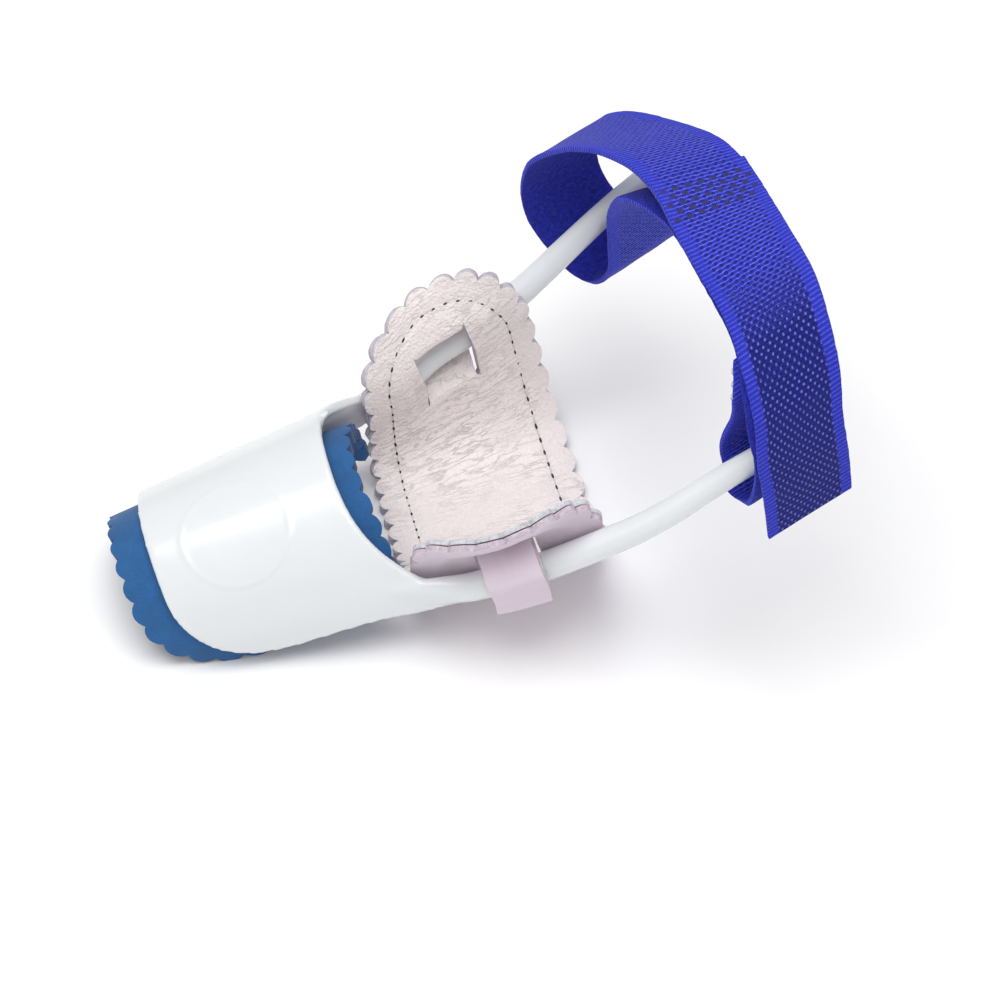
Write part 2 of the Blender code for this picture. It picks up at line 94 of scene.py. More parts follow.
# Bunion pad
pad_front_x = 0.0528
pad_rear_x = 0.0922
pad_swing = 0.0038
pad_spread = 0.04
pad_lobe_length = 0.0188
pad_lobe_squareness = 2.3
pad_shoulder_drop = 0.0020
pad_lobe_lean = math.radians(36)
pad_lobe_bend = 0.0060
pad_scallop_pitch = 0.0061
pad_scallop_height = 0.0017
face_thickness = 0.0010
backing_thickness = 0.0013
layer_gap = 0.0003
bridge_width = 0.0118
slit_width = 0.0008
slit_half_length = 0.0080
rod_seat_gap = 0.0003

# Strap
strap_width = 0.0205
loop_tape_thickness = 0.0013
hook_tape_thickness = 0.0015
strap_overhang = 0.0375
strap_run = 0.0325
strap_side_room = 0.0090
strap_top = 0.0620
strap_slope = math.radians(18)
strap_ease = math.radians(26)
strap_ease_middle = 0.0150
strap_ease_half_width = 0.0105
strap_ease_run = 0.0340
strap_ease_low = 0.0080
strap_ease_rise = 0.0460

# Rest pose
rest_pitch = math.radians(16)
rest_shift = 0.0600
rest_drop = 0.0007961
rest_turn = Matrix.Translation((-rest_shift, 0, -rest_drop)) @ Matrix.Rotation(-rest_pitch, 4, "Y")

# Mesh fineness
arch_step = math.radians(2)
scallop_steps = 10
pad_turns = 66
lobe_turns = 24
shell_rows = 90
shell_column_step = 0.0015
lining_rows = 70
lining_column_step = 0.0014
arm_steps = 24
rod_steps = 60
rod_turns = 32
skin_smoothings = 5
tape_columns = 14
tape_line_steps = 60
seam_weld = 0.00012

# Rounding of the soft pieces' edges
foam_edge_round = 0.0005
leather_edge_round = 0.00022
tape_edge_round = 0.00035

# Round plate on the shell
circle_x = 0.0194
circle_way = -0.0096
circle_rim_width = 0.0006
circle_slope = 0.0012
circle_plate_share = 0.45
circle_reach = 0.02
circle_lowest_z = 0.008

# Relief of the leather and the tapes
seam_depth = 0.00030
seam_half_width = 0.0009
fold_height = 0.00022
swell_height = 0.00035
selvedge_height = 0.00010
waver_height = 0.00012
waver_share = 0.006

# Sewing
seam_step = 0.0012
stitch_sink = 0.0003
# Dark flattened balls at the ends of the pad's stitches: painted shade inside the needle holes.
needle_hole_shade_height = 0.0006
patch_rows = 5
patch_columns = 7
patch_start = 0.0030
patch_row_pitch = 0.0020
patch_thread = 0.0016
tack_stitches = 3
tack_start = 0.0015
tack_pitch = 0.0026
tack_thread = 0.0015
tack_across = -0.006
tack_lift = 0.0002

# Weave of the tapes
selvedge_start = 0.36
selvedge_full = 0.39
# Where the hook tape turns to dark cloth with light dots; its darkness there is partly painted shade.
dots_and_shade_start = 0.030
dots_and_shade_full = 0.046
dot_pitch_across = 0.0016
dot_pitch_along = 0.0022

# Camera
camera_azimuth = math.radians(-14)
camera_elevation = math.radians(49)
camera_distance = 0.7
camera_target = Vector((0.0104, -0.0086, 0.0208))
camera_lens = 115.92

# Columns: share of the way from the shell's arm to the rod's end, share of the end's spread beyond the
# arm's, share of the end's rise above the arm's.
rod_rows = (
    (0.0, 0.000, -0.000),
    (0.1, 0.197, 0.058),
    (0.2, 0.298, 0.100),
    (0.3, 0.400, 0.159),
    (0.4, 0.513, 0.239),
    (0.5, 0.648, 0.343),
    (0.6, 0.753, 0.474),
    (0.7, 0.823, 0.621),
    (0.8, 0.885, 0.760),
    (0.9, 0.946, 0.882),
    (1.0, 1.000, 1.000),
)

# The arm's sections, which grow out of the shell's wall into the rod. Columns: share of the way from the
# root to the rod, half thickness and half height in shares of the rod's radius, squareness.
arm_rows = (
    (0.00, 0.16, 0.80, 2.4),
    (0.25, 0.24, 1.10, 2.4),
    (0.50, 0.40, 1.26, 2.4),
    (0.75, 0.72, 1.20, 2.2),
    (1.00, 1.00, 1.00, 2.0),
)

# The pad's section from the sole rod to the instep rod. Columns: share of the half gap between the rods
# towards the instep, share of the height from the ground to the rod.
pad_rows = (
    (-1.00, 1.00),
    (-0.97, 0.84),
    (-0.84, 0.56),
    (-0.52, 0.32),
    (-0.26, 0.08),
    (0.02, 0.00),
    (0.34, 0.00),
    (0.66, 0.03),
    (0.88, 0.19),
    (0.98, 0.46),
    (1.01, 0.74),
    (1.00, 1.00),
)

# The front edges of both tapes. Columns: share of the run to the heel, share of the half span towards the
# instep, share of the top's height. The loop tape starts at its sewn end, goes round the sole rod, up, over
# and round the instep rod, and back on top of itself.
loop_tape_rows = (
    (0.932, -0.648, 0.758),
    (0.887, -0.701, 0.715),
    (0.838, -0.735, 0.661),
    (0.802, -0.714, 0.561),
    (0.708, -0.686, 0.452),
    (0.662, -0.670, 0.371),
    (0.646, -0.686, 0.290),
    (0.615, -0.743, 0.239),
    (0.677, -0.819, 0.231),
    (0.708, -0.876, 0.274),
    (0.754, -0.914, 0.355),
    (0.800, -0.926, 0.444),
    (0.830, -0.914, 0.516),
    (0.846, -0.886, 0.603),
    (0.882, -0.838, 0.682),
    (0.912, -0.781, 0.744),
    (0.950, -0.705, 0.797),
    (0.963, -0.610, 0.839),
    (0.944, -0.476, 0.873),
    (0.912, -0.305, 0.894),
    (0.885, -0.133, 0.898),
    (0.844, 0.019, 0.878),
    (0.751, 0.171, 0.855),
    (0.646, 0.324, 0.790),
    (0.585, 0.438, 0.677),
    (0.523, 0.543, 0.524),
    (0.462, 0.619, 0.315),
    (0.400, 0.676, 0.145),
    (0.277, 0.781, 0.029),
    (0.154, 0.876, 0.042),
    (0.062, 0.962, 0.145),
    (0.015, 1.000, 0.274),
    (0.046, 1.000, 0.419),
    (0.154, 0.933, 0.581),
    (0.308, 0.810, 0.702),
    (0.462, 0.657, 0.811),
    (0.615, 0.486, 0.895),
    (0.769, 0.276, 0.952),
    (0.849, 0.076, 0.968),
    (0.873, -0.095, 0.954),
)

# The hook tape starts on top of the loop tape's end and hangs down outside the sole rod.
hook_tape_rows = (
    (0.843, 0.105, 1.000),
    (0.866, -0.038, 0.992),
    (0.885, -0.190, 0.967),
    (0.924, -0.381, 0.929),
    (0.963, -0.533, 0.895),
    (0.969, -0.651, 0.874),
    (0.956, -0.747, 0.832),
    (0.936, -0.834, 0.764),
    (0.901, -0.909, 0.663),
    (0.840, -0.956, 0.532),
    (0.809, -0.981, 0.410),
    (0.781, -0.990, 0.298),
    (0.748, -1.000, 0.198),
)


def clamp(value, low, high):
    return max(low, min(high, value))


def smooth(share):
    share = clamp(share, 0.0, 1.0)
    return share * share * (3 - 2 * share)


def curve_point(points, share):
    """The point at a share of the way along a smooth curve through the points."""
    spans = len(points) - 1
    place = clamp(share, 0.0, 1.0) * spans
    index = min(int(place), spans - 1)
    part = place - index
    before = points[max(index - 1, 0)]
    start = points[index]
    end = points[index + 1]
    after = points[min(index + 2, spans)]
    return 0.5 * (
        2 * start
        + part * (end - before)
        + part**2 * (2 * before - 5 * start + 4 * end - after)
        + part**3 * (3 * start - before - 3 * end + after)
    )


def table_at(rows, key):
    """The row values at a key, along a smooth curve through the table's rows."""
    keys = [row[0] for row in rows]
    index = 0
    while index < len(keys) - 2 and key > keys[index + 1]:
        index += 1
    part = clamp((key - keys[index]) / (keys[index + 1] - keys[index]), 0.0, 1.0)
    points = [Vector(row[1:]) for row in rows]
    return curve_point(points, (index + part) / (len(rows) - 1))


def arch_width(x, flared=True):
    width = toe_half_width + (arm_half_width - toe_half_width) * x / notch_x
    if flared and x > flare_start_x:
        width += arm_flare * ((x - flare_start_x) / (arm_end_x - flare_start_x)) ** 1.5
    return width


def arch_height(x):
    return toe_height + (arm_height - toe_height) * x / notch_x


def arch_length(x):
    """Half the way round the arch, from its crown to a foot."""
    return math.pi / 2 * (arch_width(x, False) + arch_height(x)) / 2


def arch_point(x, share, flared=True):
    """A point of the outer arch: share 0 is the crown, 1 the instep foot and -1 the sole foot."""
    side = math.copysign(1.0, share)
    angle = min(abs(share), 1.0) * math.pi / 2
    below = max(abs(share) - 1.0, 0.0) * arch_length(x)
    y = side * arch_width(x, flared) * math.sin(angle)
    return Vector((x, y, arch_height(x) * math.cos(angle) - below))


def corner_x(share, front_x, foot_share):
    """The front edge, which turns into the feet on the corner radius."""
    left = (foot_share - abs(share)) * arch_length(0.0)
    if left >= front_corner:
        return front_x
    drop = front_corner - max(left, 0.0)
    return front_x + front_corner - math.sqrt(front_corner**2 - drop**2)


def notch_edge_x(share):
    """The rear edge of the shell: a U notch whose sides run out into the arms."""
    return notch_x + notch_run * min(abs(share) / arm_top_share, 1.0) ** notch_power


def shell_outline():
    steps = round(math.pi / arch_step)
    shares = [-1 + 2 * index / steps for index in range(steps + 1)]
    front = [Vector((corner_x(share, 0.0, 1.0), share)) for share in shares]
    rear_shares = [share * arm_top_share for share in reversed(shares)]
    rear = [Vector((notch_edge_x(share), share)) for share in rear_shares]
    instep_foot = [Vector((arm_end_x - arm_foot_run, 1.0)), Vector((arm_end_x, arm_foot_share))]
    instep_foot.append(Vector((arm_end_x, (arm_top_share + arm_foot_share) / 2)))
    sole_foot = [Vector((point.x, -point.y)) for point in reversed(instep_foot)]
    return front + instep_foot + rear + sole_foot


def lining_outline():
    """The lining's plain outline, in x and share, before its scallops."""
    foot = 1.0 + foam_foot_margin / arch_length(0.0)
    steps = round(math.pi / arch_step)
    shares = [foot * (-1 + 2 * index / steps) for index in range(steps + 1)]
    front = [Vector((corner_x(share, -foam_front_margin, foot), share)) for share in shares]
    rear = []
    for share in reversed(shares):
        x = min(notch_edge_x(share) + foam_rear_margin, foam_rear_limit_x)
        rear.append(Vector((x, share)))
    return front + rear


def walk(points, closed=True):
    """Running lengths at the corners of a path, and the whole length."""
    ends = points[1:] + (points[:1] if closed else [])
    lengths = [0.0]
    for start, end in zip(points, ends):
        lengths.append(lengths[-1] + (end - start).length)
    return lengths


def scalloped(points, pitch, height):
    """A closed outline, drawn the positive way round, with whole scallops standing out of it."""
    lengths = walk(points)
    total = lengths[-1]
    count = round(total / pitch)
    chord = total / count
    radius = (chord**2 / 4 + height**2) / (2 * height)
    loop = points + points[:1]
    outline = []
    index = 0
    for step in range(count * scallop_steps):
        place = total * step / (count * scallop_steps)
        while lengths[index + 1] < place:
            index += 1
        start = loop[index]
        end = loop[index + 1]
        along = (end - start).normalized()
        across = (step % scallop_steps) / scallop_steps * chord - chord / 2
        bulge = math.sqrt(max(radius**2 - across**2, 0.0)) - (radius - height)
        out = Vector((along.y, -along.x))
        outline.append(start + along * (place - lengths[index]) + out * bulge)
    return outline


def places_between(low, high, step):
    count = max(round((high - low) / step), 1)
    return [low + (high - low) * index / count for index in range(1, count)]


def lining_point(x, way):
    """A flat lining point on the shell's outer arch, which the lining sinks away from at the rear."""
    place = arch_point(x, way / arch_length(0.0), False)
    shrink = 1 - foam_rear_drop / arm_half_width * max(x / foam_rear_limit_x, 0.0) ** 2
    return Vector((x, place.y * shrink, place.z * shrink))


def rod_radius_at(x):
    share = clamp((x - pad_rear_x) / (rod_end_x - pad_rear_x), 0.0, 1.0)
    return rod_radius + (rod_end_radius - rod_radius) * share


def wall_slope():
    """How fast the arch's wall leans in above the arm's height."""
    share = arm_rise / arm_height
    return share / math.sqrt(1 - share**2)


def arm_centre_y(x):
    """The middle of the shell's wall at the arm's height."""
    return arch_width(x) * math.sqrt(1 - (arm_rise / arch_height(x)) ** 2) - shell_wall / 2


def arm_rod_y():
    return arm_centre_y(arm_end_x)


def rod_centre(side, x):
    """The rod's centre line at x; side is 1 for the instep rod and -1 for the sole rod."""
    out, rise = table_at(rod_rows, (x - arm_end_x) / (rod_end_x - arm_end_x))
    y = arm_rod_y() + (rod_end_spread - arm_rod_y()) * out
    return Vector((x, side * y, arm_rise + (rod_end_rise - arm_rise) * rise))


def rod_direction(side, x):
    step = 0.002
    return (rod_centre(side, x + step) - rod_centre(side, x - step)).normalized()


def rod_section(side, x, turns):
    """A closed ring of points round the arm or the rod at x."""
    if x < arm_end_x:
        part = (x - arm_root_x) / (arm_end_x - arm_root_x)
        thick, tall, power = table_at(arm_rows, part)
        centre = Vector((x, side * arm_centre_y(x), arm_rise))
        half_y, half_z = thick * rod_radius, tall * rod_radius
        along = Vector((1, 0, 0))
        lean = -side * wall_slope() * (1 - smooth(part))
    else:
        centre = rod_centre(side, x)
        half_y = half_z = rod_radius_at(x)
        power = 2.0
        along = rod_direction(side, x)
        lean = 0.0
    across = along.cross(Vector((0, lean, 1))).normalized()
    up = across.cross(along)
    ring = []
    for index in range(turns):
        angle = math.tau * index / turns
        cos, sin = math.cos(angle), math.sin(angle)
        wide = math.copysign(abs(cos) ** (2 / power), cos)
        high = math.copysign(abs(sin) ** (2 / power), sin)
        ring.append(centre + across * half_y * wide + up * half_z * high)
    return ring


def ground_z(level, x):
    """The ground's height under the tipped frame, at x of the frame."""
    return (level - x * math.sin(rest_pitch)) / math.cos(rest_pitch)


def pad_middle_x():
    return (pad_front_x + pad_rear_x) / 2


def inner_face_y(x):
    """How far the space between the arms or rods reaches at x."""
    face = rod_centre(1, x).y - rod_radius
    if x < arm_end_x:
        high = 2.2 * arm_rise / arch_height(x)
        face = min(face, arch_width(x) * math.sqrt(1 - high**2) - shell_wall)
    return face


@lru_cache(maxsize=None)
def pad_path(x, level):
    """The pad's middle surface at x, as points from the sole rod to the instep rod."""
    rod = rod_centre(1, x)
    waist = inner_face_y(x) - rod_seat_gap - backing_thickness - layer_gap / 2
    swing = pad_swing - pad_spread * (x - pad_middle_x())
    ground = ground_z(level, x - swing) + (backing_thickness + layer_gap / 2) / math.cos(rest_pitch)
    rows = [Vector(row) for row in pad_rows]
    points = []
    for index in range(pad_turns + 1):
        out, up = curve_point(rows, index / pad_turns)
        up = max(up, 0.0)
        points.append(Vector((x - swing * (1 - up), waist * out, ground + (rod.z - ground) * up)))
    return points


def path_point(points, share):
    """The point at a share of a path's length."""
    lengths = walk(points, False)
    target = clamp(share, 0.0, 1.0) * lengths[-1]
    index = 0
    while index < len(points) - 2 and lengths[index + 1] < target:
        index += 1
    part = (target - lengths[index]) / (lengths[index + 1] - lengths[index])
    return points[index].lerp(points[index + 1], clamp(part, 0.0, 1.0))


@lru_cache(maxsize=None)
def pad_half_length(level):
    """Half the way from rod to rod, at the middle of the pad's width."""
    return walk(pad_path(pad_middle_x(), level), False)[-1] / 2


def pad_outline(half_length, inset=0.0):
    """The plain outline of the flat pad, or a line inset from it: straight sides and two rounded lobes."""
    half_width = (pad_rear_x - pad_front_x) / 2 - inset
    shoulder = half_length - pad_shoulder_drop
    lobe = pad_lobe_length + pad_shoulder_drop - inset
    points = []
    for side in (1, -1):
        for index in range(lobe_turns + 1):
            angle = math.pi * index / lobe_turns
            wide = math.copysign(abs(math.cos(angle)) ** (2 / pad_lobe_squareness), math.cos(angle))
            high = abs(math.sin(angle)) ** (2 / pad_lobe_squareness)
            points.append(Vector((side * half_width * wide, side * (shoulder + lobe * high))))
    return points


def bridge_lift(across, way):
    """How far the strip between two slits bulges out round the rod, as a share."""
    if abs(across) > (bridge_width + slit_width) / 2:
        return 0.0
    return smooth(2.4 * (slit_half_length - abs(way)) / slit_half_length)


def pad_point(across, way, half_length, level):
    """A flat pad point moved to its place: way runs from the pad's middle towards the instep rod."""
    x = pad_middle_x() + across
    side = 1 if way >= 0 else -1
    place = path_point(pad_path(x, level), (1 + way / half_length) / 2)
    past_rod = abs(way) - half_length
    if past_rod > 0:
        share = 2 * across / (pad_rear_x - pad_front_x)
        lean = pad_lobe_lean * (1 - 0.6 * min(share**2, 1.0))
        bent = max(past_rod - rod_radius, 0.0)
        if bent < pad_lobe_bend:
            turned = bent**2 / (2 * pad_lobe_bend)
        else:
            turned = bent - pad_lobe_bend / 2
        place.y += side * math.sin(lean) * turned
        place.z += past_rod - (1 - math.cos(lean)) * turned
    outer = rod_centre(1, x).y + rod_radius + 2 * rod_seat_gap + face_thickness + layer_gap / 2
    inner = inner_face_y(x) - rod_seat_gap - backing_thickness - layer_gap / 2
    bulge = outer - inner
    place.y += side * bulge * bridge_lift(across, past_rod)
    return place


def strap_across(place):
    """The way from a tape's front edge to its rear edge, which leans less over the foot."""
    aside = smooth((abs(place.y - strap_ease_middle) - strap_ease_half_width) / strap_ease_run)
    high = smooth((place.z - strap_ease_low) / strap_ease_rise)
    slope = strap_slope - strap_ease * (1 - aside) * high
    return Vector((math.cos(slope), 0, math.sin(slope))) * strap_width


# Building blocks

def add_object(name, mesh, finishes, replaced=()):
    made = bpy.data.objects.new(name, mesh)
    bpy.context.scene.collection.objects.link(made)
    for finish in finishes:
        made.data.materials.append(finish)
    mesh.shade_smooth()
    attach(made, "root")
    if replaced:
        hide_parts(*replaced)
    return made


def mesh_from(shape, name):
    mesh = bpy.data.meshes.new(name)
    shape.to_mesh(mesh)
    shape.free()
    return mesh


def applied(made):
    """The object's mesh with its modifiers applied."""
    bpy.context.view_layer.update()
    solid = made.evaluated_get(bpy.context.evaluated_depsgraph_get())
    mesh = bpy.data.meshes.new_from_object(solid)
    made.modifiers.clear()
    made.data = mesh
    return made


def cut_sheet(outline, rows, columns, slits=()):
    """A flat sheet cut to an outline and split finely; each corner keeps its flat place as UV."""
    sheet = bmesh.new()
    sheet.faces.new([sheet.verts.new((point.x, point.y, 0)) for point in outline])
    cuts = [((0, place, 0), (0, 1, 0)) for place in rows]
    cuts += [((place, 0, 0), (1, 0, 0)) for place in columns]
    for place, normal in cuts:
        geometry = sheet.verts[:] + sheet.edges[:] + sheet.faces[:]
        bmesh.ops.bisect_plane(sheet, geom=geometry, dist=1e-6, plane_co=place, plane_no=normal)
    holes = []
    for face in sheet.faces:
        middle = face.calc_center_median()
        for low, high in slits:
            if low.x < middle.x < high.x and low.y < middle.y < high.y:
                holes.append(face)
    bmesh.ops.delete(sheet, geom=holes, context="FACES")
    bmesh.ops.remove_doubles(sheet, verts=sheet.verts[:], dist=seam_weld)
    flat = sheet.loops.layers.uv.new("flat")
    for face in sheet.faces:
        for loop in face.loops:
            loop[flat].uv = loop.vert.co.xy
    return sheet


def crown_up(sheet):
    bmesh.ops.recalc_face_normals(sheet, faces=sheet.faces[:])
    top = max(sheet.faces, key=lambda face: face.calc_center_median().z)
    if top.normal.z < 0:
        bmesh.ops.reverse_faces(sheet, faces=sheet.faces[:])


def add_wall(made, thickness, near_side, rim, back=0):
    """A wall between near_side and near_side + thickness along the normals, with its cut edge's finish."""
    wall = made.modifiers.new("wall", "SOLIDIFY")
    wall.thickness = thickness
    wall.offset = 1 + 2 * near_side / thickness
    wall.use_quality_normals = True
    wall.material_offset_rim = rim
    wall.material_offset = back


def round_edges(made, width, segments=2):
    edges = made.modifiers.new("edges", "BEVEL")
    edges.width = width
    edges.segments = segments
    edges.limit_method = "ANGLE"
    edges.angle_limit = math.radians(50)
    edges.harden_normals = False


def add_stitch(shape, start, end, width, height, up):
    """One short thread from start to end: a stretched ball."""
    along = (end - start).normalized()
    side = along.cross(up).normalized()
    frame_turn = Matrix((side, along, side.cross(along))).transposed().to_4x4()
    size = Matrix.Diagonal((width / 2, (end - start).length / 2, height / 2, 1))
    place = Matrix.Translation((start + end) / 2) @ frame_turn @ size
    bmesh.ops.create_uvsphere(shape, u_segments=10, v_segments=6, radius=1.0, matrix=place)


# Finishes

def start_finish(name, roughness):
    made = bpy.data.materials.new(name)
    made.use_nodes = True
    shader = made.node_tree.nodes["Principled BSDF"]
    shader.inputs["Roughness"].default_value = roughness
    return made, made.node_tree, shader


def shade(colour, share):
    """A colour darkened to a share of itself."""
    return tuple(share * part for part in colour)


def set_inputs(tree, node, inputs):
    """A node's inputs set to fixed values, or linked where a value is another node's socket."""
    for key, value in inputs.items():
        if isinstance(value, bpy.types.NodeSocket):
            tree.links.new(value, node.inputs[key])
        else:
            node.inputs[key].default_value = value


def add_node(tree, kind, inputs=None, **settings):
    made = tree.nodes.new(kind)
    for key, value in settings.items():
        setattr(made, key, value)
    set_inputs(tree, made, inputs or {})
    return made


def maths(tree, operation, *values):
    made = add_node(tree, "ShaderNodeMath", dict(enumerate(values)), operation=operation)
    return made.outputs[0]


def times(tree, first, second):
    return maths(tree, "MULTIPLY", first, second)


def noise_at(tree, place, scale, detail=4.0, roughness=0.55):
    inputs = {"Vector": place, "Scale": scale, "Detail": detail, "Roughness": roughness}
    return add_node(tree, "ShaderNodeTexNoise", inputs).outputs["Fac"]


def cells_at(tree, place, scale):
    """The distance from the middle of the nearest cell of a cell pattern."""
    return add_node(tree, "ShaderNodeTexVoronoi", {"Vector": place, "Scale": scale}).outputs["Distance"]


def blend_colours(tree, share, low, high):
    """A colour from low to high, each a fixed colour or another node's."""
    inputs = {"Factor": share}
    for key, colour in (("A", low), ("B", high)):
        inputs[key] = colour if isinstance(colour, bpy.types.NodeSocket) else (*colour, 1)
    return add_node(tree, "ShaderNodeMix", inputs, data_type="RGBA").outputs["Result"]


def spread(tree, value, low, high):
    """The value stretched so that low becomes 0 and high becomes 1."""
    inputs = {"Value": value, "From Min": low, "From Max": high}
    return add_node(tree, "ShaderNodeMapRange", inputs).outputs["Result"]


def bumped(tree, shader, height, distance, strength=1.0):
    inputs = {"Height": height, "Distance": distance, "Strength": strength}
    made = add_node(tree, "ShaderNodeBump", inputs)
    tree.links.new(made.outputs["Normal"], shader.inputs["Normal"])


def object_place(tree):
    return add_node(tree, "ShaderNodeTexCoord").outputs["Object"]


def flat_place(tree):
    return add_node(tree, "ShaderNodeUVMap", uv_map="flat").outputs["UV"]


def wave_along(tree, coordinate, period):
    """A wave from -1 to 1 along a coordinate."""
    return maths(tree, "SINE", times(tree, coordinate, math.tau / period))


def plastic_finish(looks):
    """Glossy moulded plastic, a little uneven in polish and slightly translucent."""
    made, tree, shader = start_finish("white gloss plastic", 0.24)
    colour = looks.plastic_colour
    place = object_place(tree)
    cloud = noise_at(tree, place, 60.0, 3.0)
    polish = spread(tree, noise_at(tree, place, 240.0, 5.0), 0.2, 0.9)
    set_inputs(tree, shader, {
        "Base Color": blend_colours(tree, cloud, shade(colour, 0.93), colour),
        "Roughness": maths(tree, "MULTIPLY_ADD", polish, 0.06, 0.2),
        "IOR": 1.5,
        "Coat Weight": 0.25,
        "Coat Roughness": 0.12,
        "Subsurface Weight": 0.12,
        "Subsurface Radius": (0.003, 0.003, 0.003),
    })
    bumped(tree, shader, noise_at(tree, place, 300.0, 2.0), 0.00003, 0.12)
    return made


def foam_finish(name, colour, darkest):
    """Closed cell foam: a mottled colour with fine pits."""
    made, tree, shader = start_finish(name, 0.82)
    place = object_place(tree)
    cloud = noise_at(tree, place, 150.0, 6.0, 0.65)
    mottled = blend_colours(tree, spread(tree, cloud, 0.3, 0.7), shade(colour, darkest), colour)
    pits = spread(tree, cells_at(tree, place, 2600.0), 0.0, 0.5)
    speck = times(tree, maths(tree, "SUBTRACT", 1.0, pits), 0.35)
    set_inputs(tree, shader, {
        "Base Color": blend_colours(tree, speck, mottled, shade(colour, 0.45)),
        "Sheen Weight": 0.15,
        "Sheen Roughness": 0.5,
    })
    grain = maths(tree, "ADD", pits, noise_at(tree, place, 900.0, 4.0))
    bumped(tree, shader, grain, 0.00012, 0.7)
    return made


def leather_finish(looks):
    """Soft leather: pebbled grain, fine folds across the pad with painted shade in their creases, and a
    slightly uneven dye.
    """
    made, tree, shader = start_finish("beige leather", 0.5)
    colour = looks.leather_colour
    stretch = {"Vector": flat_place(tree), "Scale": (0.30, 1.3, 1.0)}
    folds = noise_at(tree, add_node(tree, "ShaderNodeMapping", stretch).outputs[0], 420.0, 4.0, 0.55)
    middle = maths(tree, "ABSOLUTE", maths(tree, "SUBTRACT", folds, 0.5))
    solid = object_place(tree)
    dye = noise_at(tree, solid, 45.0, 4.0)
    lines = times(tree, spread(tree, middle, 0.030, 0.004), spread(tree, dye, 0.40, 0.60))
    grain = spread(tree, cells_at(tree, solid, 1500.0), 0.0, 0.75)
    dyed = blend_colours(tree, spread(tree, dye, 0.3, 0.7), shade(colour, 0.90), colour)
    # Painted shade: the colour darkens along the fold lines, where the creases are.
    crease_shaded = blend_colours(tree, times(tree, lines, 0.34), dyed, shade(colour, 0.62))
    pores = times(tree, maths(tree, "SUBTRACT", 1.0, grain), 0.14)
    set_inputs(tree, shader, {
        "Base Color": blend_colours(tree, pores, crease_shaded, shade(colour, 0.70)),
        "Roughness": maths(tree, "MULTIPLY_ADD", spread(tree, dye, 0.2, 0.9), 0.16, 0.44),
    })
    bumped(tree, shader, maths(tree, "MULTIPLY_ADD", lines, -1.1, grain), 0.00020, 0.75)
    return made


def cut_edge_finish(name, colour):
    """A cut edge, where the dyed core and the fibres show."""
    made, tree, shader = start_finish(name, 0.85)
    fibres = noise_at(tree, object_place(tree), 1100.0, 5.0, 0.7)
    mixed = blend_colours(tree, spread(tree, fibres, 0.30, 0.60), shade(colour, 0.62), colour)
    set_inputs(tree, shader, {"Base Color": mixed})
    bumped(tree, shader, fibres, 0.0002, 0.8)
    return made


def backing_finish(looks):
    """The pad's matt outer layer, with a short nap."""
    made, tree, shader = start_finish("pink backing", 0.72)
    place = flat_place(tree)
    nap = noise_at(tree, place, 700.0, 6.0, 0.7)
    low = shade(looks.backing_colour, 0.86)
    mixed = blend_colours(tree, noise_at(tree, place, 60.0, 3.0), low, looks.backing_colour)
    set_inputs(tree, shader, {
        "Base Color": blend_colours(tree, times(tree, nap, 0.25), mixed, shade(low, 0.8)),
        "Sheen Weight": 0.2,
    })
    bumped(tree, shader, nap, 0.00014, 0.6)
    return made


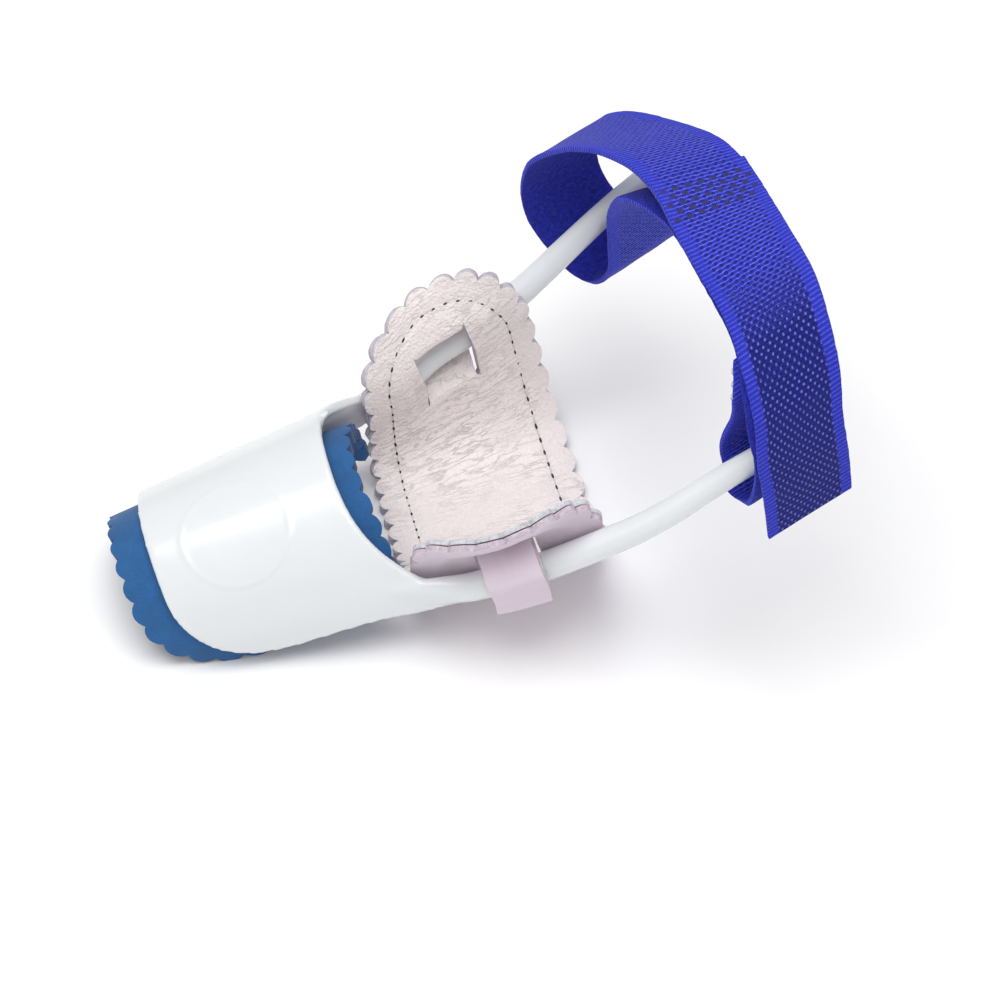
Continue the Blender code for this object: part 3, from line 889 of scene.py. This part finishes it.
def woven_finish(looks, name, dotted):
    """The woven back of the tape: ribs across it, broken like bricks, and selvedges of unbroken ribs, with
    painted shade in the weave's hollows and a painted highlight on the tops of the ribs.

    With dotted at 1 the weave turns into darker cloth with light dots towards the tape's free end; the dots
    are the weave, and the darker colour is partly painted shade towards the bottom of the hanging tape."""
    made, tree, shader = start_finish(name, 0.66)
    pitch = looks.weave_pitch
    place = flat_place(tree)
    parts = add_node(tree, "ShaderNodeSeparateXYZ", {"Vector": place})
    across, along = parts.outputs["X"], parts.outputs["Y"]
    wobble = times(tree, noise_at(tree, place, 220.0, 2.0), 0.0005)
    shifted = maths(tree, "ADD", along, wobble)
    aside = maths(tree, "ABSOLUTE", across)
    edge = spread(tree, aside, selvedge_start * strap_width, selvedge_full * strap_width)
    core = maths(tree, "SUBTRACT", 1.0, edge)
    raised = wave_along(tree, maths(tree, "ADD", shifted, pitch / 4), pitch)
    wave_across = wave_along(tree, maths(tree, "ADD", across, wobble), pitch * 1.8)
    checks = times(tree, wave_across, wave_along(tree, shifted, pitch * 2))
    gaps = times(tree, spread(tree, checks, 0.10, 0.55), core)
    calmer = maths(tree, "SUBTRACT", 1.0, times(tree, edge, 0.3))
    height = maths(tree, "SUBTRACT", times(tree, spread(tree, raised, -0.7, 0.9), calmer), gaps)
    # Painted shade: the weave's colour darkens where its relief is low, between the ribs and in their gaps.
    lit = spread(tree, height, -0.7, 0.8)
    woven = blend_colours(tree, lit, shade(looks.tape_colour, 0.34), looks.tape_colour)
    fibres = noise_at(tree, place, 1500.0, 3.0)
    # Painted highlight: the tops of the ribs are lightened towards the thread colour.
    rib_highlight = times(tree, spread(tree, height, 0.45, 1.0), spread(tree, fibres, 0.30, 0.70))
    rib_highlighted = blend_colours(tree, times(tree, rib_highlight, 0.85), woven, looks.tape_dot_and_highlight_colour)
    # Towards the hook tape's free end: dark cloth with light dots, whose darkness is partly painted shade
    # where the tape hangs low.
    dots_and_shade_share = times(tree, spread(tree, along, dots_and_shade_start, dots_and_shade_full), dotted)
    columns = wave_along(tree, across, dot_pitch_across)
    weave = times(tree, columns, wave_along(tree, shifted, dot_pitch_along))
    dots = times(tree, spread(tree, weave, 0.45, 0.85), 0.75)
    dotted_cloth_with_shade = blend_colours(tree, dots, shade(looks.tape_colour, 0.30), looks.tape_dot_and_highlight_colour)
    set_inputs(tree, shader, {
        "Base Color": blend_colours(tree, times(tree, dots_and_shade_share, core), rib_highlighted, dotted_cloth_with_shade),
        "Sheen Weight": 0.03,
        "Specular IOR Level": 0.2,
        "Sheen Roughness": 0.35,
    })
    bumped(tree, shader, height, 0.00022, 0.9)
    return made


def pile_finish(looks):
    """The looped face of the tape: a dark, fuzzy pile."""
    made, tree, shader = start_finish("looped blue pile", 0.95)
    place = flat_place(tree)
    tufts = noise_at(tree, place, 900.0, 6.0, 0.75)
    low, high = shade(looks.tape_colour, 0.34), shade(looks.tape_colour, 0.95)
    set_inputs(tree, shader, {
        "Base Color": blend_colours(tree, spread(tree, tufts, 0.36, 0.66), low, high),
        "Sheen Weight": 0.05,
        "Specular IOR Level": 0.2,
        "Sheen Roughness": 0.6,
    })
    bumped(tree, shader, maths(tree, "ADD", tufts, cells_at(tree, place, 1300.0)), 0.0004, 0.9)
    return made


def thread_finish(name, colour):
    """Twisted sewing thread."""
    made, tree, shader = start_finish(name, 0.6)
    parts = add_node(tree, "ShaderNodeSeparateXYZ", {"Vector": object_place(tree)})
    slanted = maths(tree, "ADD", parts.outputs["X"], parts.outputs["Y"])
    twist = spread(tree, wave_along(tree, slanted, 0.0004), -1.0, 1.0)
    set_inputs(tree, shader, {"Base Color": blend_colours(tree, twist, shade(colour, 0.6), colour)})
    bumped(tree, shader, twist, 0.00005, 0.6)
    return made


# Shapes of the pieces

def plastic_shell():
    outline = shell_outline()
    rows = [-1 + 2 * index / shell_rows for index in range(1, shell_rows)]
    sheet = cut_sheet(outline, rows, places_between(0.0, arm_end_x, shell_column_step))
    for vert in sheet.verts:
        vert.co = arch_point(vert.co.x, vert.co.y)
    crown_up(sheet)
    return sheet


def add_rod(solid, side):
    """The arm and the tapered rod as one loft through rings of points."""
    places = [arm_root_x + (arm_end_x - arm_root_x) * index / arm_steps for index in range(arm_steps)]
    places += [arm_end_x + (rod_end_x - arm_end_x) * index / rod_steps for index in range(rod_steps + 1)]
    ends = []
    last = None
    for x in places:
        ring = [solid.verts.new(point) for point in rod_section(side, x, rod_turns)]
        edges = [solid.edges.new((ring[index - 1], ring[index])) for index in range(rod_turns)]
        if last:
            bmesh.ops.bridge_loops(solid, edges=last + edges)
        if x in (places[0], places[-1]):
            ends.append(ring)
        last = edges
    for ring in ends:
        solid.faces.new(ring)


def emboss_height(x, way, looks):
    """A plain round plate, raised a little, with a fine ring at its rim."""
    away = math.hypot(x - circle_x, way - circle_way)
    ring = math.exp(-(((away - looks.circle_radius) / circle_rim_width) ** 2))
    plate = smooth((looks.circle_radius - away) / circle_slope)
    return looks.circle_height * (ring + circle_plate_share * plate)


def build_frame(looks):
    """The shell, arms, rods and knobs under one smoothed skin, with the round plate raised on the shell."""
    shell = bpy.data.objects.new("shell_wall", mesh_from(plastic_shell(), "shell_wall"))
    bpy.context.scene.collection.objects.link(shell)
    add_wall(shell, shell_wall, -shell_wall, 0)
    applied(shell)
    solid = bmesh.new()
    solid.from_mesh(shell.data)
    bpy.data.objects.remove(shell)
    for side in (1, -1):
        rod = bmesh.new()
        add_rod(rod, side)
        centre = rod_centre(side, rod_end_x)
        bmesh.ops.create_uvsphere(
            rod, u_segments=32, v_segments=20, radius=knob_radius, matrix=Matrix.Translation(centre)
        )
        bmesh.ops.recalc_face_normals(rod, faces=rod.faces[:])
        solid.from_mesh(mesh_from(rod, "rod"))
    made = add_object("white_frame", mesh_from(solid, "white_frame"), [], ["splint_frame"])
    remesh = made.modifiers.new("one_skin", "REMESH")
    remesh.mode = "VOXEL"
    remesh.voxel_size = looks.skin_pitch
    applied(made)
    skin = bmesh.new()
    skin.from_mesh(made.data)
    for _ in range(skin_smoothings):
        bmesh.ops.smooth_vert(
            skin, verts=skin.verts[:], factor=0.5, use_axis_x=True, use_axis_y=True, use_axis_z=True
        )
    skin.normal_update()
    for vert in skin.verts:
        x, y, z = vert.co
        if x < circle_x + circle_reach and z > circle_lowest_z:
            angle = math.atan2(y / arch_width(x), z / arch_height(x))
            if vert.normal.y * y + vert.normal.z * z > 0:
                way = angle * (arch_width(x) + arch_height(x)) / 2
                vert.co = vert.co + vert.normal * emboss_height(x, way, looks)
    bmesh.ops.transform(skin, matrix=rest_turn, verts=skin.verts[:])
    skin.to_mesh(made.data)
    skin.free()
    made.data.shade_smooth()
    made.data.materials.clear()
    made.data.materials.append(plastic_finish(looks))


def build_lining(looks):
    length = arch_length(0.0)
    metric = [Vector((point.x, point.y * length)) for point in reversed(lining_outline())]
    outline = scalloped(metric, foam_scallop_pitch, foam_scallop_height)
    rows = [length * (-1 + 2 * index / lining_rows) for index in range(1, lining_rows)]
    columns = places_between(-foam_front_margin, foam_rear_limit_x, lining_column_step)
    sheet = cut_sheet(outline, rows, columns)
    for vert in sheet.verts:
        vert.co = rest_turn @ lining_point(vert.co.x, vert.co.y)
    crown_up(sheet)
    foam = foam_finish("blue foam", looks.foam_colour, 0.72)
    cut = foam_finish("cut blue foam", looks.foam_cut_colour, 0.6)
    made = add_object("foam_lining", mesh_from(sheet, "foam_lining"), [foam, cut],
                      ["toe_foam_lining"])
    add_wall(made, foam_thickness, -shell_wall - foam_gap - foam_thickness, 1)
    round_edges(made, foam_edge_round)


def pad_relief(across, way, half_length, stitch_line):
    """How far the leather stands off its plain shape: the sunk seam and soft folds, which calm down where
    the pad wraps the rods.
    """
    place = Vector((across, way, 0))
    seam = min((place.xy - point).length for point in stitch_line)
    sunk = -seam_depth * math.exp(-((seam / seam_half_width) ** 2))
    calm = smooth(abs(abs(way) - half_length) / 0.012 - 0.2)
    folds = noise.noise(Vector((across * 55, way * 210, 3.1))) * fold_height
    swell = noise.noise(Vector((across * 60, way * 60, 9.7))) * swell_height
    return sunk + (folds + swell) * calm


def even_points(points, count):
    """An open path as count even steps, and its length."""
    lengths = walk(points, False)
    places = []
    index = 0
    for step in range(count + 1):
        target = lengths[-1] * step / count
        while index < len(points) - 2 and lengths[index + 1] < target:
            index += 1
        share = (target - lengths[index]) / (lengths[index + 1] - lengths[index])
        places.append(points[index].lerp(points[index + 1], clamp(share, 0.0, 1.0)))
    return places, lengths[-1]


def spaced(points, pitch):
    """Points at even steps along a closed line."""
    count = round(walk(points)[-1] / pitch)
    places, _ = even_points(points + points[:1], count)
    return places[:-1]


def pad_sheet(looks):
    """The pad's middle surface, its flat area, and the flat size that it was cut to."""
    half_length = pad_half_length(rest_drop)
    outline = scalloped(pad_outline(half_length), pad_scallop_pitch, pad_scallop_height)
    half_slit = bridge_width / 2
    half_width = (pad_rear_x - pad_front_x) / 2
    slits = []
    rows = []
    for side in (-1, 1):
        low = side * half_length - slit_half_length
        high = side * half_length + slit_half_length
        rows += [low, high]
        for start in (-half_slit - slit_width, half_slit):
            slits.append((Vector((start, low)), Vector((start + slit_width, high))))
    reach = half_length + pad_lobe_length + 2 * pad_scallop_height
    rows += places_between(-reach, reach, looks.leather_pitch)
    columns = [-half_slit - slit_width, -half_slit, half_slit, half_slit + slit_width]
    columns += places_between(-half_width - 0.002, half_width + 0.002, looks.leather_pitch)
    sheet = cut_sheet(outline, rows, columns, slits)
    area = sum(face.calc_area() for face in sheet.faces)
    seam = spaced(pad_outline(half_length, looks.seam_inset), seam_step)
    relief = {}
    for vert in sheet.verts:
        across, way = vert.co.xy
        relief[vert] = pad_relief(across, way, half_length, seam)
        vert.co = rest_turn @ pad_point(across, way, half_length, rest_drop)
    bmesh.ops.recalc_face_normals(sheet, faces=sheet.faces[:])
    low_face = min(sheet.faces, key=lambda face: face.calc_center_median().z)
    if low_face.normal.z < 0:
        bmesh.ops.reverse_faces(sheet, faces=sheet.faces[:])
    sheet.normal_update()
    moves = {vert: vert.normal * relief[vert] for vert in sheet.verts}
    for vert, move in moves.items():
        vert.co = vert.co + move
    return sheet, area, (2 * half_width, 2 * reach)


def build_pad(looks):
    sheet, area, flat = pad_sheet(looks)
    face_mesh = mesh_from(sheet, "leather_face")
    backing_mesh = face_mesh.copy()
    edge = cut_edge_finish("cut leather edge", looks.edge_colour)
    backing_edge = cut_edge_finish("cut backing edge", shade(looks.backing_colour, 0.85))
    face = add_object("leather_face", face_mesh, [leather_finish(looks), edge],
                      ["pad_face"])
    add_wall(face, face_thickness, layer_gap / 2, 1)
    round_edges(face, leather_edge_round)
    backing = add_object("pad_backing_skin", backing_mesh, [backing_finish(looks), backing_edge],
                         ["pad_backing"])
    add_wall(backing, backing_thickness, -layer_gap / 2 - backing_thickness, 1)
    round_edges(backing, leather_edge_round)


def pad_place(across, way, half_length, lift):
    """A place at a height over the pad's middle surface, in the rest pose, and the surface's normal."""
    step = 0.0004
    here = pad_point(across, way, half_length, rest_drop)
    beside = pad_point(across + step, way, half_length, rest_drop) - here
    ahead = pad_point(across, way + step, half_length, rest_drop) - here
    normal = beside.cross(ahead).normalized()
    turned = rest_turn.to_3x3() @ normal
    return rest_turn @ (here + normal * lift), turned


def add_sewing(name, stitches, finish_name, colour):
    add_object(name, mesh_from(stitches, name), [thread_finish(finish_name, colour)])


def build_pad_sewing(looks):
    half_length = pad_half_length(rest_drop)
    line = spaced(pad_outline(half_length, looks.seam_inset), looks.stitch_pitch)
    threads, holes = bmesh.new(), bmesh.new()
    outer = layer_gap / 2 + face_thickness - stitch_sink
    inner = -layer_gap / 2 - backing_thickness + stitch_sink
    for start, end in zip(line, line[1:] + line[:1]):
        on_rod = abs(abs((start.y + end.y) / 2) - half_length) < slit_half_length
        if on_rod and abs(start.x) < bridge_width / 2 + slit_width:
            continue
        for lift in (outer, inner):
            first, up = pad_place(*start.lerp(end, 0.17), half_length, lift)
            last, up = pad_place(*start.lerp(end, 0.83), half_length, lift)
            add_stitch(threads, first, last, looks.thread_width, looks.thread_width * 0.8, up)
            # A dark flattened ball over each end of the stitch: painted shade inside the needle hole.
            low, up = pad_place(*start.lerp(end, -0.20), half_length, lift)
            high, up = pad_place(*start.lerp(end, 0.22), half_length, lift)
            add_stitch(holes, low, high, looks.thread_width * 1.1, needle_hole_shade_height, up)
    add_sewing("pad_thread", threads, "pale thread", looks.pad_thread_colour)
    add_sewing("pad_needle_hole_shades", holes, "painted needle hole shade", looks.needle_hole_shade_colour)


def tape_line(rows):
    """The front edge of a tape as even small steps along its length, and that length."""
    points = []
    for run, span, top in rows:
        x = rod_end_x - strap_overhang + strap_run * run
        points.append(Vector((x, (rod_end_spread + strap_side_room) * span, strap_top * top)))
    steps = tape_line_steps * len(points)
    fine = [curve_point(points, index / steps) for index in range(steps + 1)]
    return even_points(fine, steps)


def line_point(line, share):
    place = clamp(share, 0.0, 1.0) * (len(line) - 1)
    index = min(int(place), len(line) - 2)
    return line[index].lerp(line[index + 1], place - index)


def tape_place(line, along, across, lift):
    """A place on a tape in the rest pose; along and across are shares, lift is over its middle."""
    here = line_point(line, along)
    reach = 0.004
    ahead = line_point(line, along + reach) - line_point(line, along - reach)
    sideways = strap_across(here)
    normal = ahead.cross(sideways).normalized()
    return rest_turn @ (here + sideways * across + normal * lift), rest_turn.to_3x3() @ normal


def build_tape(name, rows, thickness, pitch, finishes, replaced):
    points, length = tape_line(rows)
    sheet = bmesh.new()
    steps = round(length / pitch)
    bmesh.ops.create_grid(sheet, x_segments=tape_columns, y_segments=steps, size=1.0)
    flat = sheet.loops.layers.uv.new("flat")
    for face in sheet.faces:
        for loop in face.loops:
            across, along = loop.vert.co.xy
            loop[flat].uv = (across / 2 * strap_width, (along + 1) / 2 * length)
    for vert in sheet.verts:
        across, along = vert.co.xy
        selvedge = selvedge_height * smooth((abs(across) - 0.84) / 0.1)
        waver = waver_height * noise.noise(Vector((across * 2, along * length * 90, 1.3)))
        aside = waver_share * noise.noise(Vector((across * 3, along * length * 300, 5.0)))
        share = (across + 1) / 2 + aside
        vert.co, _ = tape_place(points, (along + 1) / 2, share, selvedge + waver)
    bmesh.ops.recalc_face_normals(sheet, faces=sheet.faces[:])
    sheet.faces.ensure_lookup_table()
    middle = sheet.faces[0]
    outward = tape_place(points, 0.0, 0.5, 1.0)[0] - tape_place(points, 0.0, 0.5, 0.0)[0]
    if middle.normal.dot(outward) < 0:
        bmesh.ops.reverse_faces(sheet, faces=sheet.faces[:])
    made = add_object(name, mesh_from(sheet, name), finishes, [replaced])
    add_wall(made, thickness, -thickness / 2, 0, 1)
    round_edges(made, tape_edge_round)


def build_tapes(looks):
    woven = woven_finish(looks, "woven blue tape", 0.0)
    dotted = woven_finish(looks, "woven hook tape", 1.0)
    pile = pile_finish(looks)
    build_tape("loop_tape", loop_tape_rows, loop_tape_thickness, looks.tape_pitch, [woven, pile],
               "strap_loop_tape")
    build_tape("hook_tape", hook_tape_rows, hook_tape_thickness, looks.tape_pitch, [dotted, pile],
               "strap_hook_tape")


def build_tape_sewing(looks):
    points, length = tape_line(hook_tape_rows)
    top = hook_tape_thickness / 2
    patch = bmesh.new()
    for row in range(patch_rows):
        for column in range(patch_columns):
            across = (column + 0.55 + 0.5 * (row % 2)) / (patch_columns + 0.6)
            along = (patch_start + row * patch_row_pitch) / length
            for thread in (-1, 0, 1):
                shift = thread * looks.thread_width * 0.9 / strap_width
                start, up = tape_place(points, along, across + shift, top)
                end, up = tape_place(points, along + patch_thread / length, across + shift, top)
                add_stitch(patch, start, end, looks.thread_width, looks.thread_width * 0.7, up)
    add_sewing("patch_sewing", patch, "navy thread", looks.patch_thread_colour)
    points, length = tape_line(loop_tape_rows)
    tack = bmesh.new()
    for step in range(tack_stitches):
        along = (tack_start + step * tack_pitch) / length
        start, up = tape_place(points, along, tack_across, tack_lift)
        end, up = tape_place(points, along + tack_thread / length, tack_across, tack_lift)
        add_stitch(tack, start, end, looks.thread_width * 1.3, looks.thread_width * 1.3, up)
    add_sewing("bar_tack", tack, "white thread", looks.tack_colour)


def build_stage(looks):
    floor = bmesh.new()
    bmesh.ops.create_grid(floor, x_segments=2, y_segments=2, size=3.0)
    made = bpy.data.objects.new("floor", mesh_from(floor, "floor"))
    bpy.context.scene.collection.objects.link(made)
    finish, tree, shader = start_finish("pale floor", 0.6)
    cloud = noise_at(tree, object_place(tree), 3.0)
    set_inputs(tree, shader, {
        "Base Color": blend_colours(tree, cloud, shade(looks.floor_colour, 0.985), looks.floor_colour),
        "Specular IOR Level": 0.1,
    })
    made.data.materials.append(finish)

    world = bpy.data.worlds.new("studio")
    bpy.context.scene.world = world
    world.use_nodes = True
    sky = world.node_tree.nodes["Background"]
    sky.inputs["Color"].default_value = (1, 1, 1, 1)
    sky.inputs["Strength"].default_value = looks.sky_strength
    lamps = (
        ("top_light", (-0.10, -0.05, 1.0), 0.8, looks.top_power),
        ("front_fill", (0.4, -1.0, 0.55), 1.0, looks.fill_power),
        ("left_light", (-0.9, -0.1, 0.5), 0.5, looks.left_power),
    )
    for name, place, size, power in lamps:
        lamp = bpy.data.lights.new(name, "AREA")
        lamp.shape = "SQUARE"
        lamp.size = size
        lamp.energy = power
        lit = bpy.data.objects.new(name, lamp)
        bpy.context.scene.collection.objects.link(lit)
        lit.location = place
        aim = Vector((0.0, 0.0, 0.03)) - Vector(place)
        lit.rotation_euler = aim.to_track_quat("-Z", "Y").to_euler()

    camera = bpy.data.cameras.new("photo_camera")
    camera.sensor_width = 36.0
    camera.sensor_fit = "HORIZONTAL"
    camera.lens = camera_lens
    view = bpy.data.objects.new("photo_camera", camera)
    bpy.context.scene.collection.objects.link(view)
    turn, rise = camera_azimuth, camera_elevation
    look = Vector((-math.sin(turn) * math.cos(rise), math.cos(turn) * math.cos(rise), -math.sin(rise)))
    view.location = camera_target - look * camera_distance
    view.rotation_euler = look.to_track_quat("-Z", "Y").to_euler()
    bpy.context.scene.camera = view
    bpy.context.scene.view_settings.view_transform = "Standard"


# Add-on

def length_property(name, description, default):
    return bpy.props.FloatProperty(
        name=name, description=description, default=default, min=0.0, subtype="DISTANCE", unit="LENGTH",
        precision=5,
    )


def colour_property(name, description, default):
    return bpy.props.FloatVectorProperty(
        name=name, description=description, default=default, size=3, min=0.0, max=1.0, subtype="COLOR"
    )


def number_property(name, description, default):
    return bpy.props.FloatProperty(name=name, description=description, default=default, min=0.0)


class SplintLooks(bpy.types.PropertyGroup):
    """Sizes and colours of the splint's pieces."""

    plastic_colour: colour_property("Plastic", "Colour of the moulded frame", (0.765, 0.788, 0.800))
    skin_pitch: length_property("Skin pitch", "Mesh size of the moulded frame", 0.00048)
    circle_radius: length_property("Plate radius", "Radius of the round plate on the shell", 0.0119)
    circle_height: length_property("Plate height", "Height of the round plate's rim", 0.00016)
    foam_colour: colour_property("Foam", "Colour of the lining", (0.012, 0.115, 0.33))
    foam_cut_colour: colour_property("Foam edge", "Colour of the lining's cut edge", (0.006, 0.055, 0.20))
    leather_colour: colour_property("Leather", "Colour of the pad's face", (0.90, 0.815, 0.80))
    leather_pitch: length_property("Leather pitch", "Mesh size of the pad", 0.0010)
    edge_colour: colour_property("Leather edge", "Colour of the pad's cut edge", (0.64, 0.66, 0.70))
    backing_colour: colour_property("Backing", "Colour of the pad's outer layer", (0.74, 0.63, 0.72))
    seam_inset: length_property("Seam inset", "Distance of the sewing from the pad's edge", 0.0042)
    stitch_pitch: length_property("Stitch pitch", "Length of one stitch and its gap", 0.0030)
    thread_width: length_property("Thread width", "Width of the sewing thread", 0.00050)
    pad_thread_colour: colour_property("Pad thread", "Colour of the pad's sewing", (0.80, 0.74, 0.72))
    # Colour of the painted shade inside the needle holes.
    needle_hole_shade_colour: colour_property("Needle holes", "Colour inside the needle holes", (0.02, 0.02, 0.03))
    tape_colour: colour_property("Tape", "Colour of the tapes", (0.030, 0.042, 0.60))
    # Colour of the hook tape's dots, and also of the painted highlight on the tops of the ribs.
    tape_dot_and_highlight_colour: colour_property("Tape threads", "Colour of the raised threads", (0.18, 0.21, 0.82))
    tape_pitch: length_property("Tape pitch", "Mesh size along the tapes", 0.0008)
    weave_pitch: length_property("Weave pitch", "Distance from rib to rib", 0.0010)
    patch_thread_colour: colour_property("Patch thread", "Colour of the dark sewing", (0.030, 0.026, 0.19))
    tack_colour: colour_property("Tack thread", "Colour of the bar tack", (0.75, 0.75, 0.85))
    floor_colour: colour_property("Floor", "Colour of the floor", (0.95, 0.95, 0.95))
    sky_strength: number_property("Sky", "Strength of the even light", 0.48)
    top_power: number_property("Top light", "Power of the light above, in watts", 8.0)
    fill_power: number_property("Front light", "Power of the light in front, in watts", 1.7)
    left_power: number_property("Left light", "Power of the light at the toe, in watts", 0.6)


class SPLINT_OT_frame(bpy.types.Operator):
    """Build the white moulded frame with its shell, arms and rods"""

    bl_idname = "splint.frame"
    bl_label = "White frame"

    def execute(self, context):
        build_frame(context.scene.splint_looks)
        return {"FINISHED"}


class SPLINT_OT_lining(bpy.types.Operator):
    """Build the scalloped foam lining of the toe shell"""

    bl_idname = "splint.lining"
    bl_label = "Foam lining"

    def execute(self, context):
        build_lining(context.scene.splint_looks)
        return {"FINISHED"}


class SPLINT_OT_pad(bpy.types.Operator):
    """Build the hanging leather pad and its backing"""

    bl_idname = "splint.pad"
    bl_label = "Leather pad"

    def execute(self, context):
        build_pad(context.scene.splint_looks)
        return {"FINISHED"}


class SPLINT_OT_pad_sewing(bpy.types.Operator):
    """Sew round the leather pad"""

    bl_idname = "splint.pad_sewing"
    bl_label = "Pad sewing"

    def execute(self, context):
        build_pad_sewing(context.scene.splint_looks)
        return {"FINISHED"}


class SPLINT_OT_tapes(bpy.types.Operator):
    """Build the loop tape and the hook tape"""

    bl_idname = "splint.tapes"
    bl_label = "Tapes"

    def execute(self, context):
        build_tapes(context.scene.splint_looks)
        return {"FINISHED"}


class SPLINT_OT_tape_sewing(bpy.types.Operator):
    """Sew the patch and the bar tack of the tapes"""

    bl_idname = "splint.tape_sewing"
    bl_label = "Tape sewing"

    def execute(self, context):
        build_tape_sewing(context.scene.splint_looks)
        return {"FINISHED"}


class SPLINT_OT_stage(bpy.types.Operator):
    """Set up the floor, the studio light and the camera"""

    bl_idname = "splint.stage"
    bl_label = "Stage"

    def execute(self, context):
        build_stage(context.scene.splint_looks)
        return {"FINISHED"}


operators = (
    SPLINT_OT_frame,
    SPLINT_OT_lining,
    SPLINT_OT_pad,
    SPLINT_OT_pad_sewing,
    SPLINT_OT_tapes,
    SPLINT_OT_tape_sewing,
    SPLINT_OT_stage,
)


class SPLINT_PT_panel(bpy.types.Panel):
    """The splint's sizes, colours and building steps"""

    bl_idname = "SPLINT_PT_panel"
    bl_label = "Bunion Corrector"
    bl_space_type = "VIEW_3D"
    bl_region_type = "UI"
    bl_category = "Splint"

    def draw(self, context):
        for operator in operators:
            self.layout.operator(operator.bl_idname)
        for name in SplintLooks.__annotations__:
            self.layout.prop(context.scene.splint_looks, name)


def register():
    for made in (SplintLooks, *operators, SPLINT_PT_panel):
        bpy.utils.register_class(made)
    bpy.types.Scene.splint_looks = bpy.props.PointerProperty(type=SplintLooks)


def unregister():
    del bpy.types.Scene.splint_looks
    for made in (SPLINT_PT_panel, *reversed(operators), SplintLooks):
        bpy.utils.unregister_class(made)


def main():
    register()
    bpy.ops.splint.frame()
    bpy.ops.splint.lining()
    bpy.ops.splint.pad()
    bpy.ops.splint.pad_sewing()
    bpy.ops.splint.tapes()
    bpy.ops.splint.tape_sewing()
    bpy.ops.splint.stage()


if __name__ == "__main__":
    main()
